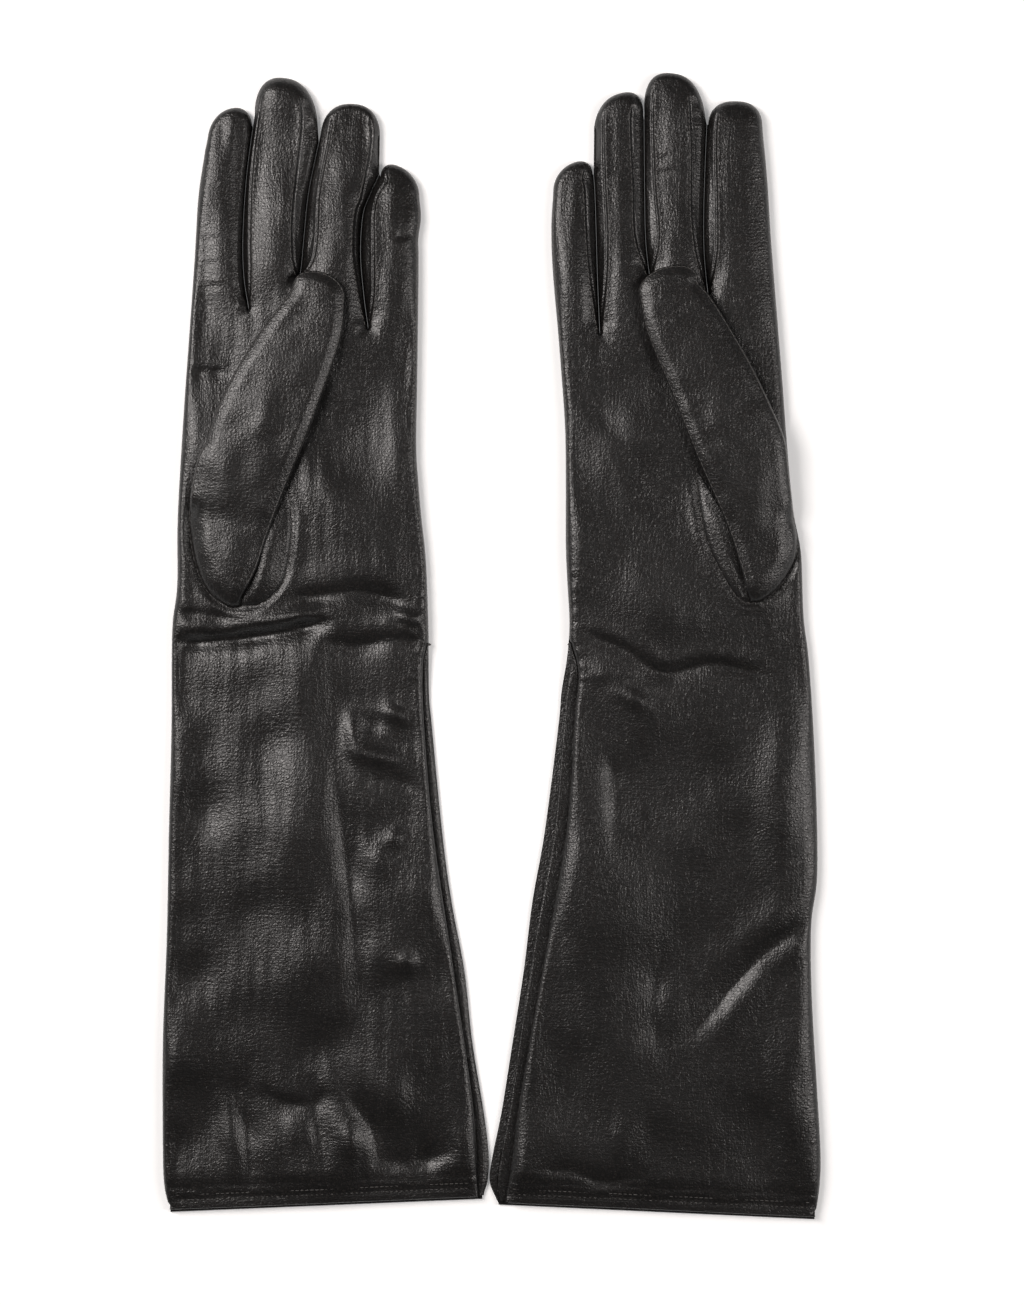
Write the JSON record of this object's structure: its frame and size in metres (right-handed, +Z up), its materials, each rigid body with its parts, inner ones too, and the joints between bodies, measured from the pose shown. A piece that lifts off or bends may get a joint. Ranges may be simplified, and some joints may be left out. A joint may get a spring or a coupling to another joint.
{
  "type": "opera gloves",
  "caption": "Pair of long leather gloves lying flat, palms up, with set-in thumbs, forks between the fingers and a gusset that flares each sleeve.",
  "frame": {"origin": "on the table under the middle of the pair's box", "axes": "+X across the pair towards the right-hand glove, +Y from the hems to the fingertips, +Z up from the table, out of the palms"},
  "size_m": [0.2514, 0.434, 0.015],
  "materials": {
    "leather": "satin black kidskin",
    "lining": "thin silk jersey",
    "thread": "waxed thread"
  },
  "bodies": {
    "left_sleeve": {"left_sleeve_trank": "leather", "left_gusset": "leather", "left_hem_turn": "leather", "left_sleeve_lining": "lining", "left_gusset_tack": "thread"},
    "left_hand": {"left_hand_trank": "leather", "left_hand_lining": "lining", "left_thumb_base": "leather", "left_fork_root_index_middle": "leather", "left_fork_root_middle_ring": "leather", "left_fork_root_ring_little": "leather"},
    "left_index": {"left_index_strips": "leather", "left_index_fork_outer": "leather", "left_index_lining": "lining"},
    "left_middle": {"left_middle_strips": "leather", "left_middle_fork_inner": "leather", "left_middle_fork_outer": "leather", "left_middle_lining": "lining"},
    "left_ring": {"left_ring_strips": "leather", "left_ring_fork_inner": "leather", "left_ring_fork_outer": "leather", "left_ring_lining": "lining"},
    "left_little": {"left_little_strips": "leather", "left_little_fork_inner": "leather", "left_little_lining": "lining"},
    "left_thumb": {"left_thumb_front": "leather", "left_thumb_back": "leather", "left_thumb_lining": "lining"},
    "right_sleeve": {"right_sleeve_trank": "leather", "right_gusset": "leather", "right_hem_turn": "leather", "right_sleeve_lining": "lining", "right_gusset_tack": "thread"},
    "right_hand": {"right_hand_trank": "leather", "right_hand_lining": "lining", "right_thumb_base": "leather", "right_fork_root_index_middle": "leather", "right_fork_root_middle_ring": "leather", "right_fork_root_ring_little": "leather"},
    "right_index": {"right_index_strips": "leather", "right_index_fork_outer": "leather", "right_index_lining": "lining"},
    "right_middle": {"right_middle_strips": "leather", "right_middle_fork_inner": "leather", "right_middle_fork_outer": "leather", "right_middle_lining": "lining"},
    "right_ring": {"right_ring_strips": "leather", "right_ring_fork_inner": "leather", "right_ring_fork_outer": "leather", "right_ring_lining": "lining"},
    "right_little": {"right_little_strips": "leather", "right_little_fork_inner": "leather", "right_little_lining": "lining"},
    "right_thumb": {"right_thumb_front": "leather", "right_thumb_back": "leather", "right_thumb_lining": "lining"}
  },
  "joints": [
    {"name": "pair_apart", "type": "slide", "parent": "left_sleeve", "child": "right_sleeve", "axis": [1, 0, 0], "range_m": [0, 0.3]},
    {"name": "left_wrist_fold", "type": "hinge", "parent": "left_sleeve", "child": "left_hand", "pos_m": [-0.0731, 0.00346, 0.008], "axis": [1, 0, 0], "range_deg": [0, 80]},
    {"name": "left_index_fold", "type": "hinge", "parent": "left_hand", "child": "left_index", "pos_m": [-0.10298, 0.16243, 0.008], "axis": [0.9991, -0.0419, 0], "range_deg": [0, 90]},
    {"name": "left_middle_fold", "type": "hinge", "parent": "left_hand", "child": "left_middle", "pos_m": [-0.08028, 0.17041, 0.008], "axis": [0.999, -0.0454, 0], "range_deg": [0, 90]},
    {"name": "left_ring_fold", "type": "hinge", "parent": "left_hand", "child": "left_ring", "pos_m": [-0.05631, 0.1648, 0.008], "axis": [0.9962, -0.0872, 0], "range_deg": [0, 90]},
    {"name": "left_little_fold", "type": "hinge", "parent": "left_hand", "child": "left_little", "pos_m": [-0.03611, 0.14695, 0.008], "axis": [0.9994, -0.0349, 0], "range_deg": [0, 90]},
    {"name": "left_thumb_fold", "type": "hinge", "parent": "left_hand", "child": "left_thumb", "pos_m": [-0.0898, 0.07887, 0.015], "axis": [0.9426, -0.3338, 0], "range_deg": [0, 75]},
    {"name": "right_wrist_fold", "type": "hinge", "parent": "right_sleeve", "child": "right_hand", "pos_m": [0.0731, 0.00346, 0.008], "axis": [1, 0, 0], "range_deg": [0, 80]},
    {"name": "right_index_fold", "type": "hinge", "parent": "right_hand", "child": "right_index", "pos_m": [0.09714, 0.16341, 0.008], "axis": [0.9969, 0.0785, 0], "range_deg": [0, 90]},
    {"name": "right_middle_fold", "type": "hinge", "parent": "right_hand", "child": "right_middle", "pos_m": [0.07415, 0.17056, 0.008], "axis": [0.9966, 0.0819, 0], "range_deg": [0, 90]},
    {"name": "right_ring_fold", "type": "hinge", "parent": "right_hand", "child": "right_ring", "pos_m": [0.05041, 0.16407, 0.008], "axis": [0.9923, 0.1236, 0], "range_deg": [0, 90]},
    {"name": "right_little_fold", "type": "hinge", "parent": "right_hand", "child": "right_little", "pos_m": [0.03088, 0.1455, 0.008], "axis": [0.9974, 0.0715, 0], "range_deg": [0, 90]},
    {"name": "right_thumb_fold", "type": "hinge", "parent": "right_hand", "child": "right_thumb", "pos_m": [0.08703, 0.07943, 0.015], "axis": [0.9298, 0.3681, 0], "range_deg": [0, 75]}
  ]
}
